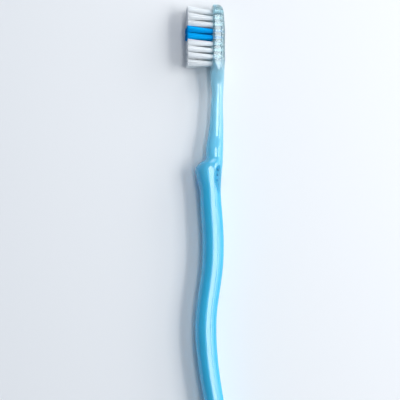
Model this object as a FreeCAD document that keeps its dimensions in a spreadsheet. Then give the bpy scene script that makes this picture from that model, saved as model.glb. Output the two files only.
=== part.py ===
import FreeCAD, Part
import math
import os
import re
import Sketcher
from FreeCAD import Rotation, Vector

# Manual toothbrush lying on its side: a moulded handle, tufts of nylon filaments and the metal anchors that hold them.
# Frame: head towards +Y, bristles towards -X, +Z up. The handle's lower side flat rests on Z = 0.
# A place along the brush is counted from the head's tip towards the butt, a place across the depth from the face
# that the tufts stand on (bristles negative, back positive), and a place across the width from the middle plane.

ROWS = 9
COLUMNS = 4
END_ROW_COLUMNS = 3
INDICATOR_ROWS = (4, 5)

# Driving dimensions in millimetres, and three angles in degrees.
SIZES = {
    # Tufting of the head.
    "hole_diameter": 1.9,
    "hole_depth": 3.6,
    "row_wall": 0.72,
    "column_wall": 0.55,
    "rim_wall": 0.85,
    "tip_margin": 2.8,
    "heel_margin": 0.3,
    "floor_wall": 1.4,
    "root_clearance": 0.03,
    "trim_height": 10.3,
    "indicator_extra": 0.25,
    "tip_fan": 1.15,
    "heel_fan": 0.3,
    "tip_gap": 0.12,
    "tip_bevel": 0.2,
    # Anchors of flat wire.
    "anchor_height": 1.2,
    "anchor_thickness": 0.3,
    "anchor_bite": 0.12,
    "anchor_turn": 35.0,
    "fold_height": 0.5,
    # Lengths along the handle.
    "tip_round": 5.4,
    "shoulder_length": 10.3,
    "neck_length": 26.0,
    "thumb_length": 15.0,
    "grip_length": 110.0,
    "butt_round": 6.5,
    # Depths, seen from the side.
    "tip_thinning": 0.35,
    "neck_depth": 4.8,
    "handle_depth": 8.45,
    "butt_depth": 7.2,
    "thumb_rise": 2.5,
    "neck_sweep": 2.6,
    "wave_height": 3.0,
    "heel_reach": 6.65,
    # Widths, seen from the front.
    "neck_width": 4.8,
    "handle_width": 11.2,
    "butt_width": 10.4,
    "side_crown": 0.06,
    "face_edge": 0.8,
    "back_edge": 1.9,
    # Finger grips on the two back corners.
    "scoop_length": 11.0,
    "scoop_depth": 0.75,
    "scoop_radius": 5.0,
    "scoop_lean": 4.0,
    "scoop_turn": 51.0,
    "pip_radius": 0.6,
    "pip_rise": 0.3,
    # How far a cut runs past what it cuts.
    "overrun": 1.0,
}

# Sizes and places that follow from the driving dimensions.
COLUMN_PITCH = "(hole_diameter + column_wall)"
ROW_PITCH = "(hole_diameter + row_wall)"
HEAD_WIDTH = f"({COLUMNS} * hole_diameter + {COLUMNS - 1} * column_wall + 2 * rim_wall)"
HEAD_DEPTH = "(hole_depth + floor_wall)"
HEAD_END = f"(tip_margin + {ROWS} * hole_diameter + {ROWS - 1} * row_wall + heel_margin)"
NECK_START = f"({HEAD_END} + shoulder_length)"
LEDGE = f"({NECK_START} + neck_length)"
GRIP_START = f"({LEDGE} + thumb_length)"
LENGTH = f"({GRIP_START} + grip_length)"
LOFT_WIDTH = "(handle_width + 2 * side_crown)"

# From the building coordinates to the frame.
FRAME_SHIFT = {
    "x": "(trim_height + indicator_extra - heel_reach) / 2",
    "y": f"{LENGTH} / 2",
    "z": "handle_width / 2",
}

# Turn of the rounded ends from the pole to the full section, as shares of a quarter turn.
END_TURN_SHARES = (0.12, 0.27, 0.45, 0.7, 1.0)
# How the depth of a rounded end follows its width, and how much of what it loses is lost at the front.
END_DEPTH_POWER_SHARE = 0.5
TIP_FRONT_SHARE = 0.2
BUTT_FRONT_SHARE = 0.5
# Where the head has its full section, as shares of the head's length.
HEAD_SHARES = (0.38, 0.68, 0.93)
# Rows of: along the stretch, sweep of the middle, depth from neck to handle, width from neck to the wider end.
SHOULDER_SHARES = (
    (0.15, 0.09, 0.11, 0.88),
    (0.45, 0.10, 0.14, 0.45),
    (0.78, 0.07, 0.07, 0.11),
)
NECK_SHARES = (
    (0.00, 0.06, 0.00, 0.00),
    (0.25, 0.16, 0.06, 0.00),
    (0.50, 0.22, 0.22, 0.06),
    (0.75, 0.41, 0.48, 0.27),
    (0.92, 0.54, 0.57, 0.50),
)
# Rows of: along the thumb rest, middle in wave heights, rise of the depth, width from neck to handle.
THUMB_SHARES = (
    (0.08, 0.29, -0.58, 0.62),
    (0.175, 0.00, 0.11, 0.80),
    (0.27, -0.30, 0.76, 0.93),
    (0.39, -0.46, 0.98, 1.00),
    (0.53, -0.43, 0.75, 1.00),
    (0.68, -0.37, 0.45, 1.00),
    (0.84, -0.29, 0.12, 1.00),
    (1.00, -0.24, -0.04, 1.00),
)
# Rows of the thumb rest that carry a grip pip, each with the scoop's depth there, and the row at its middle.
PIP_DEPTH_SHARES = {3: 0.38, 4: 0.83, 5: 1.0}
SCOOP_ROW = 5
# Rows of: along the grip, middle in wave heights, depth.
GRIP_SHARES = (
    (0.05, -0.13, 0.99),
    (0.12, 0.06, 1.00),
    (0.20, 0.15, 1.00),
    (0.27, 0.05, 1.00),
    (0.35, -0.31, 1.00),
    (0.44, -0.74, 0.98),
    (0.52, -0.84, 0.99),
    (0.60, -0.65, 0.96),
    (0.68, -0.28, 0.94),
    (0.77, 0.28, 0.91),
    (0.86, 0.80, 0.86),
)
# Corner rounding of the section, in the smaller of its depth and width.
FRONT_ROUND_SHARE = 0.47
BACK_ROUND_SHARE = 0.42

doc = FreeCAD.newDocument("Toothbrush")
sheet = doc.addObject("Spreadsheet::Sheet", "Sizes")
for line, (alias, number) in enumerate(SIZES.items(), start=1):
    sheet.set(f"A{line}", alias)
    sheet.set(f"B{line}", str(number))
    sheet.setAlias(f"B{line}", alias)
doc.recompute()


def value(text):
    """The number that a sum of sizes comes to."""
    return float(sheet.evalExpression(text))


def bind(thing, prop, text):
    """Ties a property to a sum of sizes."""
    cells = re.sub(r"[a-z_]+", lambda word: f"Sizes.{word[0]}" if word[0] in SIZES else word[0], text)
    thing.setExpression(prop, cells)


def put(thing, x, y, z, rotation=Rotation()):
    """Places an object by its building coordinates, with y counted from the tip."""
    thing.Placement.Rotation = rotation
    bind(thing, "Placement.Base.x", f"{x} + {FRAME_SHIFT['x']}")
    bind(thing, "Placement.Base.y", f"{FRAME_SHIFT['y']} - ({y})")
    bind(thing, "Placement.Base.z", f"{z} + {FRAME_SHIFT['z']}")


def origin_feature(body, role):
    return next(item for item in body.Origin.OriginFeatures if item.Role == role)


def new_sketch(body, name, plane, offset):
    """A sketch parallel to one of the body's origin planes."""
    sketch = body.newObject("Sketcher::SketchObject", name)
    sketch.AttachmentSupport = [(origin_feature(body, plane), "")]
    sketch.MapMode = "FlatFace"
    bind(sketch, "AttachmentOffset.Base.z", offset)
    return sketch


def fix(sketch, name, text, kind, *where):
    """Adds a named dimension to a sketch and ties it to a sum of sizes."""
    sketch.addConstraint(Sketcher.Constraint(kind, *where, value(text)))
    sketch.renameConstraint(sketch.ConstraintCount - 1, name)
    bind(sketch, f"Constraints.{name}", text)


def blend(start, end, share):
    return f"({start} + ({end} - {start}) * {share})"


def station(place, middle, depth, width):
    """One cross-section of the handle, with corners rounded by its smaller side."""
    smaller = f"min({depth}; {width})"
    return {
        "place": place,
        "front": f"({middle} - {depth} / 2)",
        "back": f"({middle} + {depth} / 2)",
        "half_width": f"({width} / 2)",
        "front_round": f"({FRONT_ROUND_SHARE} * {smaller})",
        "back_round": f"({BACK_ROUND_SHARE} * {smaller})",
    }


def rounded_end(full, end_round, front_share):
    """Cross-sections from the pole of a rounded end to its full section, with the distance from the pole."""
    pole = math.cos(END_TURN_SHARES[0] * math.pi / 2)
    depth = f"({full['back']} - {full['front']})"
    for turn_share in END_TURN_SHARES:
        turn = turn_share * math.pi / 2
        width_share = math.sin(turn)
        depth_share = width_share ** END_DEPTH_POWER_SHARE
        lost_share = 1 - depth_share
        yield f"({end_round} * {pole - math.cos(turn):.6f})", {
            "front": f"({full['front']} + {depth} * {lost_share * front_share:.6f})",
            "back": f"({full['back']} - {depth} * {lost_share * (1 - front_share):.6f})",
            "half_width": f"({full['half_width']} * {width_share:.6f})",
            "front_round": f"({full['front_round']} * {depth_share * width_share ** (1 - depth_share):.6f})",
            "back_round": f"({full['back_round']} * {depth_share * width_share ** (1 - depth_share):.6f})",
        }


def head_stations():
    full = {
        "front": "0",
        "back": HEAD_DEPTH,
        "half_width": f"({HEAD_WIDTH} / 2)",
        "front_round": "face_edge",
        "back_round": "back_edge",
    }
    thinned = dict(full, back=f"({HEAD_DEPTH} - tip_thinning)")
    for place, section in rounded_end(thinned, "tip_round", TIP_FRONT_SHARE):
        yield dict(section, place=place)
    for share in HEAD_SHARES:
        yield dict(full, place=f"{HEAD_END} * {share}")


def neck_stations():
    stretches = (
        (SHOULDER_SHARES, HEAD_END, "shoulder_length", HEAD_WIDTH),
        (NECK_SHARES, NECK_START, "neck_length", LOFT_WIDTH),
    )
    for shares, start, length, wide in stretches:
        for along, sweep, depth, width in shares:
            yield station(
                f"{start} + {length} * {along}",
                f"({HEAD_DEPTH} / 2 - neck_sweep * {sweep})",
                blend("neck_depth", "handle_depth", depth),
                blend("neck_width", wide, width),
            )


def thumb_stations():
    for along, middle, rise, width in THUMB_SHARES:
        yield station(
            f"{LEDGE} + thumb_length * {along}",
            f"(wave_height * {middle})",
            f"(handle_depth + thumb_rise * {rise})",
            blend("neck_width", LOFT_WIDTH, width),
        )


def grip_stations():
    for along, middle, depth in GRIP_SHARES:
        yield station(
            f"{GRIP_START} + grip_length * {along}",
            f"(wave_height * {middle})",
            f"(handle_depth * {depth})",
            LOFT_WIDTH,
        )
    full = station("", "(heel_reach - butt_depth / 2)", "butt_depth", "butt_width")
    for place, section in reversed(list(rounded_end(full, "butt_round", BUTT_FRONT_SHARE))):
        yield dict(section, place=f"{LENGTH} - {place}")


def section_sketch(body, number, at):
    """A rounded rectangle across the brush: four sides and four tangent corners."""
    sketch = new_sketch(body, f"Section{number}", "XZ_Plane", at["place"])
    front, back, half = value(at["front"]), value(at["back"]), value(at["half_width"])
    front_round, back_round = value(at["front_round"]), value(at["back_round"])
    corners = (
        (front, half, front_round, 1, -1, 90),
        (front, -half, front_round, 1, 1, 180),
        (back, -half, back_round, -1, 1, 270),
        (back, half, back_round, -1, -1, 0),
    )
    for x, z, radius, inward_x, inward_z, start in corners:
        centre = Vector(x + inward_x * radius, z + inward_z * radius, 0)
        circle = Part.Circle(centre, Vector(0, 0, 1), radius)
        sketch.addGeometry(Part.ArcOfCircle(circle, math.radians(start), math.radians(start + 90)))
    for corner in range(4):
        begin = sketch.getPoint(corner, 2)
        end = sketch.getPoint((corner + 1) % 4, 1)
        side = sketch.addGeometry(Part.LineSegment(begin, end))
        sketch.addConstraint(Sketcher.Constraint("Tangent", corner, 2, side, 1))
        sketch.addConstraint(Sketcher.Constraint("Tangent", side, 2, (corner + 1) % 4, 1))
    front_side, lower_side, back_side, upper_side = 4, 5, 6, 7
    sketch.addConstraint(Sketcher.Constraint("Vertical", front_side))
    sketch.addConstraint(Sketcher.Constraint("Vertical", back_side))
    sketch.addConstraint(Sketcher.Constraint("Horizontal", lower_side))
    sketch.addConstraint(Sketcher.Constraint("Horizontal", upper_side))
    sketch.addConstraint(Sketcher.Constraint("Equal", 0, 1))
    sketch.addConstraint(Sketcher.Constraint("Equal", 2, 3))
    fix(sketch, "front_round", at["front_round"], "Radius", 0)
    fix(sketch, "back_round", at["back_round"], "Radius", 2)
    fix(sketch, "front", at["front"], "DistanceX", -1, 1, front_side, 1)
    fix(sketch, "back", at["back"], "DistanceX", -1, 1, back_side, 1)
    fix(sketch, "upper", at["half_width"], "DistanceY", -1, 1, upper_side, 1)
    fix(sketch, "lower", at["half_width"], "DistanceY", lower_side, 1, -1, 1)
    return sketch


def mirror(body, feature):
    """Repeats a feature on the other side of the middle plane."""
    other = body.newObject("PartDesign::Mirrored", f"{feature.Name}Mirrored")
    other.Originals = [feature]
    other.MirrorPlane = (origin_feature(body, "XY_Plane"), [""])
    body.Tip = other


def cut_side_flats(body):
    """Cuts the handle's sides flat from the thumb rest to the butt, so that it lies still on a table."""
    sketch = new_sketch(body, "SideFlat", "XY_Plane", "handle_width / 2")
    near = "(trim_height + overrun)"
    far = "(heel_reach + overrun)"
    begin = NECK_START
    finish = f"({LENGTH} + overrun)"
    corners = (
        Vector(-value(near), -value(begin), 0),
        Vector(-value(near), -value(finish), 0),
        Vector(value(far), -value(finish), 0),
        Vector(value(far), -value(begin), 0),
    )
    for number, corner in enumerate(corners):
        sketch.addGeometry(Part.LineSegment(corner, corners[(number + 1) % 4]))
    for number in range(4):
        sketch.addConstraint(Sketcher.Constraint("Coincident", number, 2, (number + 1) % 4, 1))
        sketch.addConstraint(Sketcher.Constraint(("Vertical", "Horizontal")[number % 2], number))
    fix(sketch, "near", near, "DistanceX", 0, 1, -1, 1)
    fix(sketch, "far", far, "DistanceX", -1, 1, 2, 1)
    fix(sketch, "begin", begin, "DistanceY", 3, 1, -1, 1)
    fix(sketch, "finish", finish, "DistanceY", 1, 1, -1, 1)
    flat = body.newObject("PartDesign::Pocket", "SideFlatCut")
    flat.Profile = sketch
    flat.Type = "ThroughAll"
    flat.Reversed = True
    mirror(body, flat)


def corner_point(at, out):
    """Where a point lies that is out from the handle's back corner, at the scoop's turn round that corner."""
    reach = f"({at['back_round']} + {out})"
    return (
        f"{at['back']} - {at['back_round']} + {reach} * cos(scoop_turn * 1 deg)",
        f"-({at['place']})",
        f"{at['half_width']} - {at['back_round']} + {reach} * sin(scoop_turn * 1 deg)",
    )


def add_finger_grips(body):
    """A shallow scoop on each back corner of the thumb rest, with pips in it."""
    stations = list(thumb_stations())
    scoop = body.newObject("PartDesign::SubtractiveEllipsoid", "Scoop")
    bind(scoop, "Radius1", "scoop_radius")
    bind(scoop, "Radius2", "scoop_radius")
    bind(scoop, "Radius3", "scoop_length / 2 / sqrt(1 - (1 - scoop_depth / scoop_radius) ^ 2)")
    bind(scoop, "Placement.Rotation.Angle", "scoop_lean")
    for axis, text in zip("xyz", corner_point(stations[SCOOP_ROW], "scoop_radius - scoop_depth")):
        bind(scoop, f"Placement.Base.{axis}", text)
    mirror(body, scoop)
    for row, depth_share in PIP_DEPTH_SHARES.items():
        pip = body.newObject("PartDesign::AdditiveSphere", f"Pip{row}")
        bind(pip, "Radius", "pip_radius")
        out = f"pip_rise - scoop_depth * {depth_share} - pip_radius"
        for axis, text in zip("xyz", corner_point(stations[row], out)):
            bind(pip, f"Placement.Base.{axis}", text)
        mirror(body, pip)


def row_place(row):
    return f"(tip_margin + hole_diameter / 2 + {ROW_PITCH} * {row - 1})"


def row_columns(row):
    return END_ROW_COLUMNS if row in (1, ROWS) else COLUMNS


def column_place(row, column):
    return f"({COLUMN_PITCH} * {column - (row_columns(row) + 1) / 2})"


def cut_tuft_holes(body, name, rows):
    """Blind holes for the tufts of some rows."""
    sketch = new_sketch(body, f"{name}Sketch", "YZ_Plane", "0")
    for row in rows:
        for column in range(1, row_columns(row) + 1):
            along, across = row_place(row), column_place(row, column)
            centre = Vector(-value(along), value(across), 0)
            circle = sketch.addGeometry(Part.Circle(centre, Vector(0, 0, 1), value("hole_diameter / 2")))
            fix(sketch, f"bore_{row}_{column}", "hole_diameter", "Diameter", circle)
            fix(sketch, f"along_{row}_{column}", along, "DistanceX", circle, 3, -1, 1)
            fix(sketch, f"across_{row}_{column}", across, "DistanceY", -1, 1, circle, 3)
    holes = body.newObject("PartDesign::Pocket", name)
    holes.Profile = sketch
    holes.Reversed = True
    bind(holes, "Length", "hole_depth")
    return holes


def repeat_rows(body, holes, count):
    pattern = body.newObject("PartDesign::LinearPattern", f"{holes.Name}Repeated")
    pattern.Originals = [holes]
    pattern.Direction = (origin_feature(body, "Y_Axis"), [""])
    pattern.Reversed = True
    pattern.Occurrences = count
    bind(pattern, "Length", f"{ROW_PITCH} * {count - 1}")
    body.Tip = pattern


def tuft_places():
    for row in range(1, ROWS + 1):
        for column in range(1, row_columns(row) + 1):
            yield row, column


def wire_box(name, row, column, top):
    """A box across a tuft's hole, turned as the anchor is, from the anchor's bottom up to a given place."""
    box = doc.addObject("Part::Box", f"{name}_{row}_{column}")
    half_length = "(hole_diameter / 2 + anchor_bite)"
    bind(box, "Length", f"hole_depth - fold_height - ({top})")
    bind(box, "Width", f"2 * {half_length}")
    bind(box, "Height", "anchor_thickness")
    turn = "(anchor_turn * 1 deg)"
    put(
        box,
        top,
        f"{row_place(row)} + {half_length} * cos{turn} - anchor_thickness / 2 * sin{turn}",
        f"{column_place(row, column)} - {half_length} * sin{turn} - anchor_thickness / 2 * cos{turn}",
        Rotation(Vector(1, 0, 0), value("anchor_turn")),
    )
    bind(box, "Placement.Rotation.Angle", "anchor_turn")
    return box


def make_handle():
    """The moulded piece: head, neck, thumb rest and grip in one."""
    body = doc.addObject("PartDesign::Body", "HandleBody")
    stations = [*head_stations(), *neck_stations(), *thumb_stations(), *grip_stations()]
    sections = [section_sketch(body, number, at) for number, at in enumerate(stations)]
    blank = body.newObject("PartDesign::AdditiveLoft", "Blank")
    blank.Profile = sections[0]
    blank.Sections = sections[1:]
    cut_side_flats(body)
    add_finger_grips(body)
    repeat_rows(body, cut_tuft_holes(body, "FullRows", [2]), ROWS - 2)
    body.Tip = cut_tuft_holes(body, "EndRows", [1, ROWS])
    for axis, text in FRAME_SHIFT.items():
        bind(body, f"Placement.Base.{axis}", text)
    slits = doc.addObject("Part::Compound", "Slits")
    slits.Links = [wire_box("slit", row, column, "-overrun") for row, column in tuft_places()]
    handle = doc.addObject("Part::Cut", "handle")
    handle.Base = body
    handle.Tool = slits
    return handle


def make_anchors(row):
    """The flat wire anchors of one row of tufts."""
    top = "hole_depth - fold_height - anchor_height"
    anchors = doc.addObject("Part::Compound", f"anchors_row_{row}")
    anchors.Links = [wire_box("anchor", row, column, top) for column in range(1, row_columns(row) + 1)]
    return anchors


def make_tuft(row, column):
    """One tuft: a root that fills its hole round the anchor, and a free length that fans out."""
    colour = "indicator" if row in INDICATOR_ROWS else "white"
    trim = "trim_height + indicator_extra" if row in INDICATOR_ROWS else "trim_height"
    root = "hole_diameter / 2 - root_clearance"
    tip = f"(min({ROW_PITCH}; {COLUMN_PITCH}) - tip_gap) / 2"
    fan = blend("tip_fan", "heel_fan", (row - 1) / (ROWS - 1))
    rings = (
        ("hole_depth", "0", root),
        ("0", "0", root),
        (f"tip_bevel - ({trim})", fan, tip),
        (f"-({trim})", fan, f"{tip} - tip_bevel"),
    )
    circles = []
    for number, (x, lean, radius) in enumerate(rings):
        circle = doc.addObject("Part::Circle", f"ring_{row}_{column}_{number}")
        bind(circle, "Radius", radius)
        put(circle, x, f"{row_place(row)} - {lean}", column_place(row, column), Rotation(Vector(0, 1, 0), -90))
        circles.append(circle)
    bundle = doc.addObject("Part::Loft", f"bundle_{row}_{column}")
    bundle.Sections = circles
    bundle.Solid = True
    bundle.Ruled = True
    tuft = doc.addObject("Part::Cut", f"{colour}_tuft_{row}_{column}")
    tuft.Base = bundle
    tuft.Tool = wire_box("fold", row, column, "hole_depth - fold_height - anchor_height")
    return tuft


def check(parts):
    """Stops if an object failed or a sub-part has no sound solid."""
    failed = [item.Name for item in doc.Objects if {"Invalid", "Error"} & set(item.State)]
    unsound = [part.Label for part in parts if part.Shape.isNull() or not part.Shape.isValid()]
    empty = [part.Label for part in parts if not part.Shape.Solids]
    if failed or unsound or empty:
        raise RuntimeError(f"failed: {failed}, unsound: {unsound}, empty: {empty}")


parts = [make_handle()]
parts += [make_anchors(row) for row in range(1, ROWS + 1)]
parts += [make_tuft(row, column) for row, column in tuft_places()]
for part in parts:
    part.Label = part.Name
doc.recompute()
check(parts)
os.makedirs("parts", exist_ok=True)
for part in parts:
    part.Shape.exportStep(f"parts/{part.Label}.step")
    print(part.Label, len(part.Shape.Solids), round(part.Shape.Volume, 3))
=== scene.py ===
"""Looks of a manual toothbrush on its side: a clear tinted handle and tufts of separate nylon filaments."""

import math
import random

import bpy
import numpy as np
from mathutils import Matrix, Vector


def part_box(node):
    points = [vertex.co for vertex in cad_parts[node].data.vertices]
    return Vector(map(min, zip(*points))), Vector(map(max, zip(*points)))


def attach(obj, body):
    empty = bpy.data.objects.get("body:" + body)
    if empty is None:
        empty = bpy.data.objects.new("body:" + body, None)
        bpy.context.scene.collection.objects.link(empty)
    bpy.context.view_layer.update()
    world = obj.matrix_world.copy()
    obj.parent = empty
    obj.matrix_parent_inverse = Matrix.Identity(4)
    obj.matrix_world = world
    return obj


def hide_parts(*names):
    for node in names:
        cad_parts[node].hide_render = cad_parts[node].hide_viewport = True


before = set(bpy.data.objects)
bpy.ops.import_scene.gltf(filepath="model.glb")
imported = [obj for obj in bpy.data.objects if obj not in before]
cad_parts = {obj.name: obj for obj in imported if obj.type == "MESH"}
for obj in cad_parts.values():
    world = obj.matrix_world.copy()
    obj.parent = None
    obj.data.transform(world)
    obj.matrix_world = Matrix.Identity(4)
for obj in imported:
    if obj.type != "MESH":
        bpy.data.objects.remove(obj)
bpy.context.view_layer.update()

# Sizes below are in millimetres and are turned to metres where a vertex is made.
MM = 0.001

# The head and its tufting.
HOLE_DIAMETER = 1.9
HOLE_DEPTH = 3.6
ROW_PITCH = 2.62
COLUMN_PITCH = 2.45
ROWS = 9
COLUMNS = 4
END_ROW_COLUMNS = 3
INDICATOR_ROWS = (4, 5)
FIRST_ROW = 3.75
TRIM_HEIGHT = 10.3
INDICATOR_EXTRA = 0.25
TIP_FAN = 1.15
HEEL_FAN = 0.3
HEAD_WIDTH = 10.95
HEAD_DEPTH = 5.0
HEAD_END = 25.96
FACE_EDGE = 0.8
BACK_EDGE = 1.9
TIP_THINNING = 0.35
TIP_ROUND = 5.3

# The neck, the thumb rest and the grip.
SHOULDER_LENGTH = 10.3
NECK_LENGTH = 26.0
THUMB_LENGTH = 15.0
GRIP_LENGTH = 110.0
NECK_START = HEAD_END + SHOULDER_LENGTH
LEDGE = NECK_START + NECK_LENGTH
GRIP_START = LEDGE + THUMB_LENGTH
LENGTH = GRIP_START + GRIP_LENGTH
NECK_DEPTH = 4.8
NECK_WIDTH = 4.8
NECK_SWEEP = 2.6
HANDLE_DEPTH = 8.45
HANDLE_WIDTH = 11.2
SIDE_CROWN = 0.06
# The handle is lofted wider than its flats by the crown on each side, and cut back to them.
LOFT_WIDTH = HANDLE_WIDTH + 2 * SIDE_CROWN
THUMB_RISE = 2.5
WAVE_HEIGHT = 3.0
BUTT_DEPTH = 7.2
BUTT_WIDTH = 10.4
BUTT_ROUND = 6.38
HEEL_REACH = 6.65

# Finger grips on the back corners.
SCOOP_LENGTH = 11.0
SCOOP_DEPTH = 0.75
SCOOP_RADIUS = 5.0
SCOOP_LEAN = math.radians(4.0)
SCOOP_TURN = math.radians(51.0)
PIP_RADIUS = 0.6
PIP_RISE = 0.3

# Turn of the rounded ends, from just beside the pole to the full section, as shares of a quarter turn.
END_TURN_SHARES = (0.02, 0.06, 0.12, 0.19, 0.27, 0.36, 0.45, 0.57, 0.7, 0.85, 1.0)
# How much of an end's thinning is taken from its front.
TIP_FRONT_SHARE = 0.2
BUTT_FRONT_SHARE = 0.5
# Places of the straight cross-sections along the head.
HEAD_SHARES = (0.38, 0.68, 0.93)
# Rows of: along the stretch, sweep of the middle, depth from neck to handle, width from neck to wider end.
SHOULDER_SHARES = (
    (0.15, 0.09, 0.11, 0.88),
    (0.45, 0.10, 0.14, 0.45),
    (0.78, 0.07, 0.07, 0.11),
)
NECK_SHARES = (
    (0.00, 0.06, 0.00, 0.00),
    (0.25, 0.16, 0.06, 0.00),
    (0.50, 0.22, 0.22, 0.06),
    (0.75, 0.41, 0.48, 0.27),
    (0.92, 0.54, 0.57, 0.50),
)
# Rows of: along the thumb rest, middle in wave heights, rise of the depth, width from neck to handle.
THUMB_SHARES = (
    (0.08, 0.29, -0.58, 0.62),
    (0.175, 0.00, 0.11, 0.80),
    (0.27, -0.30, 0.76, 0.93),
    (0.39, -0.46, 0.98, 1.00),
    (0.53, -0.43, 0.75, 1.00),
    (0.68, -0.37, 0.45, 1.00),
    (0.84, -0.29, 0.12, 1.00),
    (1.00, -0.24, -0.04, 1.00),
)
# Rows of the thumb rest that carry a pip, each with its share of the scoop's depth, and the scoop's own row.
PIP_DEPTH_SHARES = {3: 0.38, 4: 0.83, 5: 1.0}
SCOOP_ROW = 5
# Rows of: along the grip, middle in wave heights, depth.
GRIP_SHARES = (
    (0.05, -0.13, 0.99),
    (0.12, 0.06, 1.00),
    (0.20, 0.15, 1.00),
    (0.27, 0.05, 1.00),
    (0.35, -0.31, 1.00),
    (0.44, -0.74, 0.98),
    (0.52, -0.84, 0.99),
    (0.60, -0.65, 0.96),
    (0.68, -0.28, 0.94),
    (0.77, 0.28, 0.91),
    (0.86, 0.80, 0.86),
)
# Rounding of the corners, in shares of the smaller of depth and width.
FRONT_ROUND_SHARE = 0.47
BACK_ROUND_SHARE = 0.42

# How finely the handle is meshed: ring spacing, and points on each stretch of half a ring.
RING_SPACING = 0.6
FACE_POINT_SHARES = (0.0, 0.3, 0.6, 0.85)
CORNER_POINT_SHARES = (0.0, 0.12, 0.24, 0.36, 0.48, 0.6, 0.72, 0.84, 0.96)
FLAT_POINT_SHARES = (0.0, 0.3, 0.6, 0.94)
# The round bars that cut the holes, how far they stand out of the face, and the balls of scoops and pips.
HOLE_SIDES = 32
HOLE_OVERRUN = 1.0
BALL_RINGS = 40
BALL_SIDES = 64
# Faces that meet at more than this stay sharp, as at the rims of the scoops, pips and holes.
SHARP_ANGLE = math.radians(25)

# Nylon filaments.
FILAMENTS = 46
FILAMENT_RADIUS = 0.1
FILAMENT_SIDES = 6
FILAMENT_STEP_SHARES = (0.0, 0.25, 0.5, 0.75, 1.0)
# Rows of: back from the trimmed end and radius, both in filament radii.
FILAMENT_END_SHARES = ((1.0, 1.0), (0.4, 0.8), (0.0, 0.3))
# The power of the curve that a filament bends along, and its room to the wall of its hole.
FILAMENT_BEND = 1.2
HOLE_CLEARANCE = 0.03
# How far the ends spread out from the hole, in hole widths, and how uneven lean, ends and trim are.
TIP_SPREAD = 1.55
TUFT_LEAN = 0.12
TIP_SCATTER = 0.1
TRIM_SCATTER = 0.12
TUFT_SEED = 7

# The floor reaches this far from the middle, in metres, and lies this far below the brush.
FLOOR_REACH = 2.0
FLOOR_GAP = 0.2

# Lamps, as rows of: name, place and size in metres, power in watts. The side flat mirrors the window
# to the camera, and the rounding beside it the dim curtain. The others light the back and the tip.
LAMPS = (
    ("window", (0.09, 0.05, 0.72), (0.08, 0.55), 1.15),
    ("curtain", (-0.04, 0.05, 0.72), (0.16, 0.55), 0.32),
    ("key", (0.55, 0.08, 0.64), (0.36, 0.55), 3.35),
    ("strip", (0.43, 0.02, 0.62), (0.05, 0.5), 0.75),
    ("side", (0.8, 0.35, 0.3), (0.4, 1.2), 4.15),
    ("end", (0.05, 0.7, 0.45), (0.3, 0.3), 1.1),
)
DAYLIGHT_COLOUR = "#C6E0FF"
DAYLIGHT_STRENGTH = 0.24

# The camera looks down on the brush's side, from a little towards the bristles and the butt.
CAMERA_HEIGHT = 550.0
CAMERA_LEAN = math.radians(6.5)
CAMERA_BACK = 30.0
VIEW_WIDTH = 162.7
VIEW_PLACE = 80.31
VIEW_DEPTH = -4.82
SENSOR = 36.0

# From the building coordinates, counted from the tip, the tuft face and the middle plane, to the frame.
TIP_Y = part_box("handle")[1].y
MIDDLE_Z = HANDLE_WIDTH / 2 * MM
FACE_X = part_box("white_tuft_2_1")[1].x - HOLE_DEPTH * MM


def at(place, x, z):
    """A point of the frame: place along the brush, depth from the tuft face, height from the middle."""
    return Vector((FACE_X + x * MM, TIP_Y - place * MM, MIDDLE_Z + z * MM))


def hex_colour(code, alpha=1.0):
    """An sRGB hex colour as linear red, green, blue and alpha."""
    parts = [int(code[start:start + 2], 16) / 255 for start in (1, 3, 5)]
    linear = [part / 12.92 if part <= 0.04045 else ((part + 0.055) / 1.055) ** 2.4 for part in parts]
    return (*linear, alpha)


def add_node(tree, kind, settings=None, values=None, links=None, stops=()):
    """Adds a node with its settings, socket values, links from other nodes' outputs and colour stops."""
    node = tree.nodes.new(kind)
    for number, (position, colour) in enumerate(stops):
        elements = node.color_ramp.elements
        element = elements[number] if number < len(elements) else elements.new(position)
        element.position = position
        element.color = colour
    for name, setting in (settings or {}).items():
        setattr(node, name, setting)
    for socket, number in (values or {}).items():
        node.inputs[socket].default_value = number
    for socket, source in (links or {}).items():
        tree.links.new(source, node.inputs[socket])
    return node


def new_material(name):
    """An empty material and its node tree."""
    material = bpy.data.materials.new(name)
    material.use_nodes = True
    material.node_tree.nodes.clear()
    return material, material.node_tree


# The plastic's tint and how clear it is, by the place along the brush.
PLASTIC_STOPS = (
    (22.0, hex_colour("#D4F8FF", 0.79)),
    (29.0, hex_colour("#B4EEFF", 0.42)),
    (77.0, hex_colour("#48DAFF", 0.40)),
)
PLASTIC_IOR = 1.57
PLASTIC_TINT = hex_colour("#28E0FF")
PLASTIC_TINT_DENSITY = 40.0
# Streaks of tone that the flow leaves along the brush.
FLOW_STREAK = 5.0
FLOW_STRETCH = 0.2
FLOW_DETAIL = 3.0
FLOW_TONES = (0.9, 1.08)
# Gloss, uneven from handling.
GLOSS_PATCH = 2.5
GLOSS_DETAIL = 4.0
GLOSS_ROUGHNESS = (0.03, 0.08)
# The waviness of the mould's polish.
MOULD_WAVE = 1.6
MOULD_WAVE_DETAIL = 1.0
MOULD_WAVE_HEIGHT = 0.02
MOULD_WAVE_STRENGTH = 0.5
# Spark-eroded texture of the finger grips, drawn coarser than the real 0.1 mm so that it shows.
SPARK_GRAIN = 0.45
SPARK_GRAIN_DETAIL = 3.0
SPARK_GRAIN_HEIGHT = 0.06
SPARK_GRAIN_STRENGTH = 0.7
SPARK_TONE_SHARES = (0.3, 0.7)
SPARK_ROUGHNESS = 0.42
SPARK_CLARITY = 0.3
# The grain's low and high tones: a deeper blue than the polish, painted in the scoop as shade, and deeper
# still on the pips as painted shade.
SCOOP_TONES_PAINTED_SHADE = ("#0E9AC4", "#24BCE2")
PIP_TONES_PAINTED_SHADE = ("#0A88B6", "#189FCA")
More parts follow.
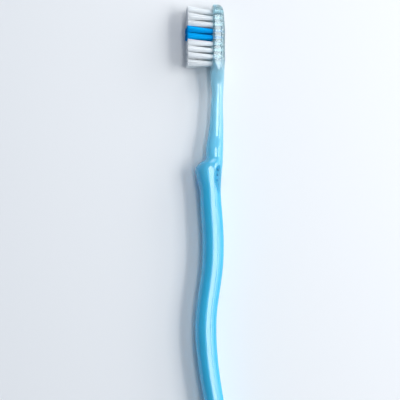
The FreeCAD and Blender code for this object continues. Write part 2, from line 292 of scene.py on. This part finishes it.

# Nylon: colour at the root, along the filament and at the trimmed end, and how strongly it shines. The root
# colours are painted darker than the body as shade; the white end is painted lighter as light, and the blue
# end darker as shade.
WHITE_NYLON = ("#F2FBFF", "#F9FDFF", "#FDFEFF", 0.4)
BLUE_NYLON = ("#02A8F4", "#02BAFF", "#0484D0", 0.05)
NYLON_BODY_SHARES = (0.45, 0.94)
NYLON_TONES = (0.95, 1.04)
NYLON_ROUGHNESS = 0.38
NYLON_IOR = 1.53

# The anchors' wire: its grain is drawn coarser than rolling leaves it, so that it shows.
WIRE_COLOUR = "#DAD8CE"
WIRE_GRAIN = 0.25
WIRE_GRAIN_DETAIL = 3.0
WIRE_ROUGHNESS = (0.22, 0.4)

FLOOR_COLOUR = "#E8E9EA"
FLOOR_ROUGHNESS = 0.8


def pattern_scale(size):
    """The scale of a noise whose features are a size in millimetres."""
    return 1 / (size * MM)


def fill_with_tint(tree, shader):
    """Ends a plastic's tree: its surface, and inside it the tint that takes light away with depth."""
    tint = add_node(tree, "ShaderNodeVolumeAbsorption",
                    values={"Color": PLASTIC_TINT, "Density": PLASTIC_TINT_DENSITY})
    add_node(tree, "ShaderNodeOutputMaterial", links={
        "Surface": shader.outputs["BSDF"],
        "Volume": tint.outputs["Volume"],
    })


def moulded_clear_san():
    """Styrene-acrylonitrile tinted sky blue, moulded in a polished tool: clear, glossy, deep where thick."""
    material, tree = new_material("moulded_clear_san")
    place = add_node(tree, "ShaderNodeTexCoord").outputs["Object"]
    axes = add_node(tree, "ShaderNodeSeparateXYZ", links={"Vector": place})
    along = add_node(tree, "ShaderNodeMapRange", values={
        "From Min": at(0, 0, 0).y,
        "From Max": at(GRIP_START, 0, 0).y,
    }, links={"Value": axes.outputs["Y"]})
    # The ramp's colour is the tint and its alpha how clear the plastic is.
    haze = add_node(tree, "ShaderNodeValToRGB", links={"Fac": along.outputs["Result"]},
                    stops=[(stop / GRIP_START, colour) for stop, colour in PLASTIC_STOPS])
    flow = add_node(tree, "ShaderNodeMapping", values={"Scale": (1, FLOW_STRETCH, 1)},
                    links={"Vector": place})
    streak = add_node(tree, "ShaderNodeTexNoise",
                      values={"Scale": pattern_scale(FLOW_STREAK), "Detail": FLOW_DETAIL},
                      links={"Vector": flow.outputs["Vector"]})
    depth = add_node(tree, "ShaderNodeMapRange",
                     values={"To Min": FLOW_TONES[0], "To Max": FLOW_TONES[1]},
                     links={"Value": streak.outputs["Fac"]})
    tinted = add_node(tree, "ShaderNodeHueSaturation", links={
        "Color": haze.outputs["Color"],
        "Value": depth.outputs["Result"],
    })
    patch = add_node(tree, "ShaderNodeTexNoise",
                     values={"Scale": pattern_scale(GLOSS_PATCH), "Detail": GLOSS_DETAIL},
                     links={"Vector": place})
    gloss = add_node(tree, "ShaderNodeMapRange",
                     values={"To Min": GLOSS_ROUGHNESS[0], "To Max": GLOSS_ROUGHNESS[1]},
                     links={"Value": patch.outputs["Fac"]})
    wave = add_node(tree, "ShaderNodeTexNoise",
                    values={"Scale": pattern_scale(MOULD_WAVE), "Detail": MOULD_WAVE_DETAIL},
                    links={"Vector": flow.outputs["Vector"]})
    polish = add_node(tree, "ShaderNodeBump",
                      values={"Strength": MOULD_WAVE_STRENGTH, "Distance": MOULD_WAVE_HEIGHT * MM},
                      links={"Height": wave.outputs["Fac"]})
    shader = add_node(tree, "ShaderNodeBsdfPrincipled", values={"IOR": PLASTIC_IOR}, links={
        "Base Color": tinted.outputs["Color"],
        "Transmission Weight": haze.outputs["Alpha"],
        "Roughness": gloss.outputs["Result"],
        "Normal": polish.outputs["Normal"],
    })
    fill_with_tint(tree, shader)
    return material


def spark_eroded_san(name, tones):
    """The same plastic where the mould is spark-eroded for grip: a matte grain, with its tones painted
    deeper than the polish as shade.
    """
    material, tree = new_material(name)
    place = add_node(tree, "ShaderNodeTexCoord").outputs["Object"]
    grain = add_node(tree, "ShaderNodeTexNoise",
                     values={"Scale": pattern_scale(SPARK_GRAIN), "Detail": SPARK_GRAIN_DETAIL},
                     links={"Vector": place})
    colour = add_node(tree, "ShaderNodeValToRGB", links={"Fac": grain.outputs["Fac"]},
                      stops=[(share, hex_colour(tone)) for share, tone in zip(SPARK_TONE_SHARES, tones)])
    relief = add_node(tree, "ShaderNodeBump",
                      values={"Strength": SPARK_GRAIN_STRENGTH, "Distance": SPARK_GRAIN_HEIGHT * MM},
                      links={"Height": grain.outputs["Fac"]})
    shader = add_node(tree, "ShaderNodeBsdfPrincipled", values={
        "IOR": PLASTIC_IOR,
        "Roughness": SPARK_ROUGHNESS,
        "Transmission Weight": SPARK_CLARITY,
    }, links={
        "Base Color": colour.outputs["Color"],
        "Normal": relief.outputs["Normal"],
    })
    fill_with_tint(tree, shader)
    return material


def nylon_filament(name, root, body, tip, shine):
    """Drawn nylon monofilament, coloured through: a satin thread, each a little unlike the next, with
    painted shade at the root, and a trimmed end painted lighter on white and darker, as shade, on blue.
    """
    material, tree = new_material(name)
    # Each filament's own tone, and how far along it a point lies, come with the mesh.
    tone = add_node(tree, "ShaderNodeAttribute", {"attribute_name": "tone"})
    along = add_node(tree, "ShaderNodeAttribute", {"attribute_name": "along"})
    # Along the filament: the root painted darker as shade, the body the dye's own colour, and the end
    # painted lighter on white and darker as shade on blue.
    dye_with_painted_light_and_shade = add_node(tree, "ShaderNodeValToRGB", links={"Fac": along.outputs["Fac"]}, stops=(
        (0.0, hex_colour(root)),
        *[(share, hex_colour(body)) for share in NYLON_BODY_SHARES],
        (1.0, hex_colour(tip)),
    ))
    shade = add_node(tree, "ShaderNodeMapRange",
                     values={"To Min": NYLON_TONES[0], "To Max": NYLON_TONES[1]},
                     links={"Value": tone.outputs["Fac"]})
    colour = add_node(tree, "ShaderNodeHueSaturation", links={
        "Color": dye_with_painted_light_and_shade.outputs["Color"],
        "Value": shade.outputs["Result"],
    })
    shader = add_node(tree, "ShaderNodeBsdfPrincipled", values={
        "Roughness": NYLON_ROUGHNESS,
        "IOR": NYLON_IOR,
        "Specular IOR Level": shine,
    }, links={"Base Color": colour.outputs["Color"]})
    add_node(tree, "ShaderNodeOutputMaterial", links={"Surface": shader.outputs["BSDF"]})
    return material


def anchor_wire():
    """Flat nickel-silver wire, rolled and cut: a bright, slightly warm metal with a fine grain."""
    material, tree = new_material("rolled_nickel_silver_wire")
    place = add_node(tree, "ShaderNodeTexCoord").outputs["Object"]
    grain = add_node(tree, "ShaderNodeTexNoise",
                     values={"Scale": pattern_scale(WIRE_GRAIN), "Detail": WIRE_GRAIN_DETAIL},
                     links={"Vector": place})
    polish = add_node(tree, "ShaderNodeMapRange",
                      values={"To Min": WIRE_ROUGHNESS[0], "To Max": WIRE_ROUGHNESS[1]},
                      links={"Value": grain.outputs["Fac"]})
    shader = add_node(tree, "ShaderNodeBsdfPrincipled",
                      values={"Base Color": hex_colour(WIRE_COLOUR), "Metallic": 1.0},
                      links={"Roughness": polish.outputs["Result"]})
    add_node(tree, "ShaderNodeOutputMaterial", links={"Surface": shader.outputs["BSDF"]})
    return material


def painted_board():
    """Board painted matte with a roller, for the floor: plain and pale, so that it keeps the shadow."""
    material, tree = new_material("matte_painted_board")
    shader = add_node(tree, "ShaderNodeBsdfPrincipled",
                      values={"Base Color": hex_colour(FLOOR_COLOUR), "Roughness": FLOOR_ROUGHNESS})
    add_node(tree, "ShaderNodeOutputMaterial", links={"Surface": shader.outputs["BSDF"]})
    return material


def new_piece(name, vertices, faces, material):
    """A smooth-shaded mesh object with one material."""
    mesh = bpy.data.meshes.new(name)
    mesh.from_pydata([tuple(vertex) for vertex in vertices], [], faces)
    mesh.polygons.foreach_set("use_smooth", [True] * len(mesh.polygons))
    mesh.materials.append(material)
    mesh.update()
    piece = bpy.data.objects.new(name, mesh)
    bpy.context.scene.collection.objects.link(piece)
    return piece


def blend(start, end, share):
    """A number between two others."""
    return start + (end - start) * share


def station(place, middle, depth, width):
    """A cross-section of the handle: place, front, back, half width, rounding of front and back corners."""
    smaller = min(depth, width)
    return (place, middle - depth / 2, middle + depth / 2, width / 2,
            FRONT_ROUND_SHARE * smaller, BACK_ROUND_SHARE * smaller)


def rounded_end(full, end_round, front_share):
    """Cross-sections from the pole of a rounded end to its full section."""
    front, back, half, front_round, back_round = full
    depth = back - front
    for turn_share in END_TURN_SHARES:
        turn = turn_share * math.pi / 2
        width_share = math.sin(turn)
        depth_share = math.sqrt(width_share)
        lost = depth * (1 - depth_share)
        round_share = depth_share * width_share ** (1 - depth_share)
        yield (end_round * (1 - math.cos(turn)), front + lost * front_share, back - lost * (1 - front_share),
               half * width_share, front_round * round_share, back_round * round_share)


def handle_stations():
    """The handle's cross-sections from the tip of the head to the butt."""
    thinned = (0.0, HEAD_DEPTH - TIP_THINNING, HEAD_WIDTH / 2, FACE_EDGE, BACK_EDGE)
    yield from rounded_end(thinned, TIP_ROUND, TIP_FRONT_SHARE)
    for share in HEAD_SHARES:
        yield (HEAD_END * share, 0.0, HEAD_DEPTH, HEAD_WIDTH / 2, FACE_EDGE, BACK_EDGE)
    stretches = ((SHOULDER_SHARES, HEAD_END, SHOULDER_LENGTH, HEAD_WIDTH),
                 (NECK_SHARES, NECK_START, NECK_LENGTH, LOFT_WIDTH))
    for shares, start, length, wide in stretches:
        for along, sweep, depth, width in shares:
            yield station(start + length * along, HEAD_DEPTH / 2 - NECK_SWEEP * sweep,
                          blend(NECK_DEPTH, HANDLE_DEPTH, depth), blend(NECK_WIDTH, wide, width))
    yield from thumb_stations()
    for along, middle, depth in GRIP_SHARES:
        yield station(GRIP_START + GRIP_LENGTH * along, WAVE_HEIGHT * middle, HANDLE_DEPTH * depth,
                      LOFT_WIDTH)
    full = station(0.0, HEEL_REACH - BUTT_DEPTH / 2, BUTT_DEPTH, BUTT_WIDTH)[1:]
    for place, *section in reversed(list(rounded_end(full, BUTT_ROUND, BUTT_FRONT_SHARE))):
        yield (LENGTH - place, *section)


def thumb_stations():
    """The cross-sections of the thumb rest."""
    for along, middle, rise, width in THUMB_SHARES:
        yield station(LEDGE + THUMB_LENGTH * along, WAVE_HEIGHT * middle, HANDLE_DEPTH + THUMB_RISE * rise,
                      blend(NECK_WIDTH, LOFT_WIDTH, width))


def spline_through(rows):
    """A natural cubic spline through the rows, spaced by their distance, read at even steps between them."""
    rows = np.array(rows)
    # The distance is taken over place, front, back and half width.
    steps = np.linalg.norm(np.diff(rows[:, :4], axis=0), axis=1)
    count = len(rows)
    system = np.eye(count)
    right = np.zeros_like(rows)
    for index in range(1, count - 1):
        before, after = steps[index - 1], steps[index]
        system[index, index - 1:index + 2] = (before, 2 * (before + after), after)
        slope_before = (rows[index] - rows[index - 1]) / before
        slope_after = (rows[index + 1] - rows[index]) / after
        right[index] = 6 * (slope_after - slope_before)
    bends = np.linalg.solve(system, right)
    for index, step in enumerate(steps):
        pieces = max(2, math.ceil(step / RING_SPACING))
        for share in np.arange(pieces) / pieces:
            left = 1 - share
            bend = (left ** 3 - left) * bends[index] + (share ** 3 - share) * bends[index + 1]
            yield left * rows[index] + share * rows[index + 1] + bend * step ** 2 / 6
    yield rows[-1]


def half_ring(front, back, half, front_round, back_round):
    """The upper half of a cross-section, from the middle of the front to the middle of the back."""
    flat = HANDLE_WIDTH / 2
    top = min(half, flat)
    front_centre = (front + front_round, half - front_round)
    back_centre = (back - back_round, half - back_round)
    front_end = math.asin(min(1.0, (top - front_centre[1]) / front_round))
    back_end = math.asin(min(1.0, (top - back_centre[1]) / back_round))
    points = [(front, front_centre[1] * share) for share in FACE_POINT_SHARES]
    for share in CORNER_POINT_SHARES:
        angle = front_end * share
        points.append((front_centre[0] - front_round * math.cos(angle),
                       front_centre[1] + front_round * math.sin(angle)))
    flat_start = front_centre[0] - front_round * math.cos(front_end)
    flat_end = back_centre[0] + back_round * math.cos(back_end)
    points += [(blend(flat_start, flat_end, share), top) for share in FLAT_POINT_SHARES]
    for share in CORNER_POINT_SHARES:
        angle = back_end * (1 - share)
        points.append((back_centre[0] + back_round * math.cos(angle),
                       back_centre[1] + back_round * math.sin(angle)))
    points += [(back, back_centre[1] * (1 - share)) for share in FACE_POINT_SHARES]
    points.append((back, 0.0))
    return points


def ring(section):
    """A whole cross-section as points of the frame."""
    place, *shape = section
    upper = half_ring(*shape)
    lower = [(x, -z) for x, z in reversed(upper[1:-1])]
    return [at(place, x, z) for x, z in upper + lower]


def tube_faces(rings, sides, start=0):
    """Quads between successive rings of a tube, and a face over each end."""
    faces = []
    for index in range(rings - 1):
        low = start + index * sides
        for side in range(sides):
            after = (side + 1) % sides
            faces.append((low + side, low + after, low + sides + after, low + sides + side))
    faces.append(tuple(start + side for side in reversed(range(sides))))
    faces.append(tuple(start + (rings - 1) * sides + side for side in range(sides)))
    return faces


def row_columns(row):
    """The number of tufts in a row."""
    return END_ROW_COLUMNS if row in (1, ROWS) else COLUMNS


def tuft_places():
    """Row, column, place along the brush and height of each tuft."""
    for row in range(1, ROWS + 1):
        for column in range(1, row_columns(row) + 1):
            height = COLUMN_PITCH * (column - (row_columns(row) + 1) / 2)
            yield row, column, FIRST_ROW + ROW_PITCH * (row - 1), height


def carve(piece, cutter, operation):
    """Cuts a cutter out of a piece, or joins it to it, and keeps the result as the piece's mesh."""
    modifier = piece.modifiers.new("carve", "BOOLEAN")
    modifier.operation = operation
    modifier.solver = "EXACT"
    modifier.material_mode = "TRANSFER"
    modifier.object = cutter
    depsgraph = bpy.context.evaluated_depsgraph_get()
    result = bpy.data.meshes.new_from_object(piece.evaluated_get(depsgraph))
    piece.modifiers.clear()
    piece.data = result
    bpy.data.objects.remove(cutter)


def hole_cutter(material):
    """One mesh with a round bar for each tuft's hole."""
    vertices = []
    faces = []
    for _, _, place, height in tuft_places():
        start = len(vertices)
        for depth in (-HOLE_OVERRUN, HOLE_DEPTH):
            for side in range(HOLE_SIDES):
                angle = 2 * math.pi * side / HOLE_SIDES
                vertices.append(at(place + HOLE_DIAMETER / 2 * math.sin(angle), depth,
                                   height + HOLE_DIAMETER / 2 * math.cos(angle)))
        faces += tube_faces(2, HOLE_SIDES, start)
    return new_piece("hole_cutter", vertices, faces, material)


def ball(name, centre, radii, lean, material):
    """A closed ball with three radii, turned about the upright axis."""
    vertices = []
    for index in range(1, BALL_RINGS):
        polar = math.pi * index / BALL_RINGS
        for side in range(BALL_SIDES):
            angle = 2 * math.pi * side / BALL_SIDES
            x = radii[0] * math.sin(polar) * math.cos(angle)
            y = radii[1] * math.cos(polar)
            z = radii[2] * math.sin(polar) * math.sin(angle)
            turned = (x * math.cos(lean) - y * math.sin(lean), x * math.sin(lean) + y * math.cos(lean), z)
            vertices.append(centre + Vector(turned) * MM)
    return new_piece(name, vertices, tube_faces(BALL_RINGS - 1, BALL_SIDES), material)


def corner_point(section, out, side):
    """A point out from the handle's back corner, at the scoop's turn round it, on either side."""
    place, _, back, half, _, back_round = section
    reach = back_round + out
    return at(place, back - back_round + reach * math.cos(SCOOP_TURN),
              side * (half - back_round + reach * math.sin(SCOOP_TURN)))


def build_handle():
    """The moulded handle: a smooth skin through its cross-sections, with scoops, pips and tuft holes."""
    plastic = moulded_clear_san()
    # The scoops' grain material has its blue painted deeper than the polish as shade.
    scoop_grain_painted_shade = spark_eroded_san("spark_eroded_san_scoop_painted_shade", SCOOP_TONES_PAINTED_SHADE)
    # The pips' grain material has its blue painted deeper still, as painted shade.
    pip_grain_painted_shade = spark_eroded_san("spark_eroded_san_pips_painted_shade", PIP_TONES_PAINTED_SHADE)
    rings = [ring(section) for section in spline_through(list(handle_stations()))]
    sides = len(rings[0])
    vertices = [point for points in rings for point in points]
    handle = new_piece("moulded_handle", vertices, tube_faces(len(rings), sides), plastic)
    sections = list(thumb_stations())
    length = SCOOP_LENGTH / 2 / math.sqrt(1 - (1 - SCOOP_DEPTH / SCOOP_RADIUS) ** 2)
    for side in (1, -1):
        centre = corner_point(sections[SCOOP_ROW], SCOOP_RADIUS - SCOOP_DEPTH, side)
        radii = (SCOOP_RADIUS, length, SCOOP_RADIUS)
        carve(handle, ball("scoop", centre, radii, SCOOP_LEAN, scoop_grain_painted_shade), "DIFFERENCE")
        for row, depth_share in PIP_DEPTH_SHARES.items():
            out = PIP_RISE - SCOOP_DEPTH * depth_share - PIP_RADIUS
            centre = corner_point(sections[row], out, side)
            carve(handle, ball("pip", centre, (PIP_RADIUS,) * 3, 0.0, pip_grain_painted_shade), "UNION")
    carve(handle, hole_cutter(plastic), "DIFFERENCE")
    handle.data.set_sharp_from_angle(angle=SHARP_ANGLE)
    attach(handle, "root")
    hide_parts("handle")


def filament_path(root, tip_centre, spread, trim, draw):
    """The points of one filament from the floor of its hole to its trimmed end."""
    place, height = root
    offset_place, offset_height = spread
    tip_place = tip_centre + offset_place * TIP_SPREAD + draw.gauss(0, TIP_SCATTER)
    tip_height = height + offset_height * TIP_SPREAD + draw.gauss(0, TIP_SCATTER)
    start = (place + offset_place, height + offset_height)
    end = -trim + draw.uniform(0, TRIM_SCATTER)
    points = [(start[0], HOLE_DEPTH, start[1])]
    for share in FILAMENT_STEP_SHARES:
        bend = share ** FILAMENT_BEND
        points.append((blend(start[0], tip_place, bend), end * share, blend(start[1], tip_height, bend)))
    return [at(*point) for point in points]


def filament_rings(path):
    """The centre and radius of each ring of a filament, from its root to its rounded end."""
    direction = (path[-1] - path[-2]).normalized()
    rings = [(point, FILAMENT_RADIUS) for point in path[:-1]]
    for back, size in FILAMENT_END_SHARES:
        rings.append((path[-1] - direction * FILAMENT_RADIUS * back * MM, FILAMENT_RADIUS * size))
    return rings


def build_tuft(row, column, place, height, nylon, draw):
    """One tuft: separate filaments that fill the hole, fan out and end rounded in the trim plane."""
    indicator = row in INDICATOR_ROWS
    trim = TRIM_HEIGHT + (INDICATOR_EXTRA if indicator else 0)
    fan = blend(TIP_FAN, HEEL_FAN, (row - 1) / (ROWS - 1))
    room = HOLE_DIAMETER / 2 - FILAMENT_RADIUS - HOLE_CLEARANCE
    golden_angle = math.pi * (3 - math.sqrt(5))
    lean = draw.gauss(0, TUFT_LEAN)
    vertices, faces, tones, alongs = [], [], [], []
    for number in range(FILAMENTS):
        radius = room * math.sqrt((number + 0.5) / FILAMENTS)
        angle = golden_angle * number
        spread = (radius * math.cos(angle), radius * math.sin(angle))
        path = filament_path((place, height), place - fan + lean, spread, trim, draw)
        tone = draw.random()
        start = len(vertices)
        rings = filament_rings(path)
        for point, size in rings:
            for side in range(FILAMENT_SIDES):
                turn = 2 * math.pi * side / FILAMENT_SIDES
                vertices.append(point + Vector((0, math.sin(turn), math.cos(turn))) * size * MM)
                tones.append(tone)
                alongs.append(max(0.0, (FACE_X - point.x) / (trim * MM)))
        faces += tube_faces(len(rings), FILAMENT_SIDES, start)
    name = f"{'indicator' if indicator else 'white'}_tuft_{row}_{column}"
    tuft = new_piece(f"{name}_filaments", vertices, faces, nylon)
    for attribute, numbers in (("tone", tones), ("along", alongs)):
        tuft.data.attributes.new(attribute, "FLOAT", "POINT").data.foreach_set("value", numbers)
    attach(tuft, "root")
    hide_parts(name)


def build_tufts():
    """All the tufts, each drawn from the same run of random numbers."""
    white = nylon_filament("white_nylon_filament", *WHITE_NYLON)
    blue = nylon_filament("blue_nylon_filament", *BLUE_NYLON)
    draw = random.Random(TUFT_SEED)
    for row, column, place, height in tuft_places():
        build_tuft(row, column, place, height, blue if row in INDICATOR_ROWS else white, draw)


def finish_anchors():
    """The anchors keep their CAD solids and get their metal."""
    metal = anchor_wire()
    for row in range(1, ROWS + 1):
        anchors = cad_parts[f"anchors_row_{row}"]
        anchors.data.materials.clear()
        anchors.data.materials.append(metal)


def add_floor():
    """A wide floor a hair below the brush, so that light leaves the clear plastic through air."""
    reach = FLOOR_REACH
    low = -FLOOR_GAP * MM
    corners = [(-reach, -reach, low), (reach, -reach, low), (reach, reach, low), (-reach, reach, low)]
    floor = new_piece("floor", corners, [(0, 1, 2, 3)], painted_board())


def turn_along(look):
    """The turn of a camera or lamp that looks along a direction, with its upright edge along the brush."""
    right = look.cross(Vector((0, 1, 0))).normalized()
    return Matrix((right, right.cross(look), -look)).transposed().to_euler()


def add_lamp(name, place, aim, size, power):
    """A soft rectangular lamp aimed at a point."""
    lamp = bpy.data.lights.new(name, "AREA")
    lamp.shape = "RECTANGLE"
    lamp.size, lamp.size_y = size
    lamp.energy = power
    holder = bpy.data.objects.new(name, lamp)
    holder.location = place
    holder.rotation_euler = turn_along((aim - holder.location).normalized())
    bpy.context.scene.collection.objects.link(holder)


def add_light():
    """The lamps, aimed at the middle of the view, and faint daylight from all round."""
    middle = at(VIEW_PLACE, 0, 0)
    for name, place, size, power in LAMPS:
        add_lamp(name, place, middle, size, power)
    world = bpy.data.worlds.new("soft_daylight")
    world.use_nodes = True
    tree = world.node_tree
    tree.nodes.clear()
    sky = add_node(tree, "ShaderNodeBackground",
                   values={"Color": hex_colour(DAYLIGHT_COLOUR), "Strength": DAYLIGHT_STRENGTH})
    add_node(tree, "ShaderNodeOutputWorld", links={"Surface": sky.outputs["Background"]})
    bpy.context.scene.world = world


def add_camera():
    """Looks down on the side of the brush, with the head up."""
    centre = at(VIEW_PLACE, VIEW_DEPTH, 0)
    data = bpy.data.cameras.new("camera")
    data.sensor_width = SENSOR
    offset = Vector((-math.tan(CAMERA_LEAN) * CAMERA_HEIGHT, -CAMERA_BACK, CAMERA_HEIGHT))
    data.lens = SENSOR * offset.length / VIEW_WIDTH
    camera = bpy.data.objects.new("camera", data)
    camera.location = centre + offset * MM
    camera.rotation_euler = turn_along(-offset.normalized())
    bpy.context.scene.collection.objects.link(camera)
    bpy.context.scene.camera = camera


build_handle()
build_tufts()
finish_anchors()
add_floor()
add_light()
add_camera()
bpy.context.scene.view_settings.view_transform = "Standard"
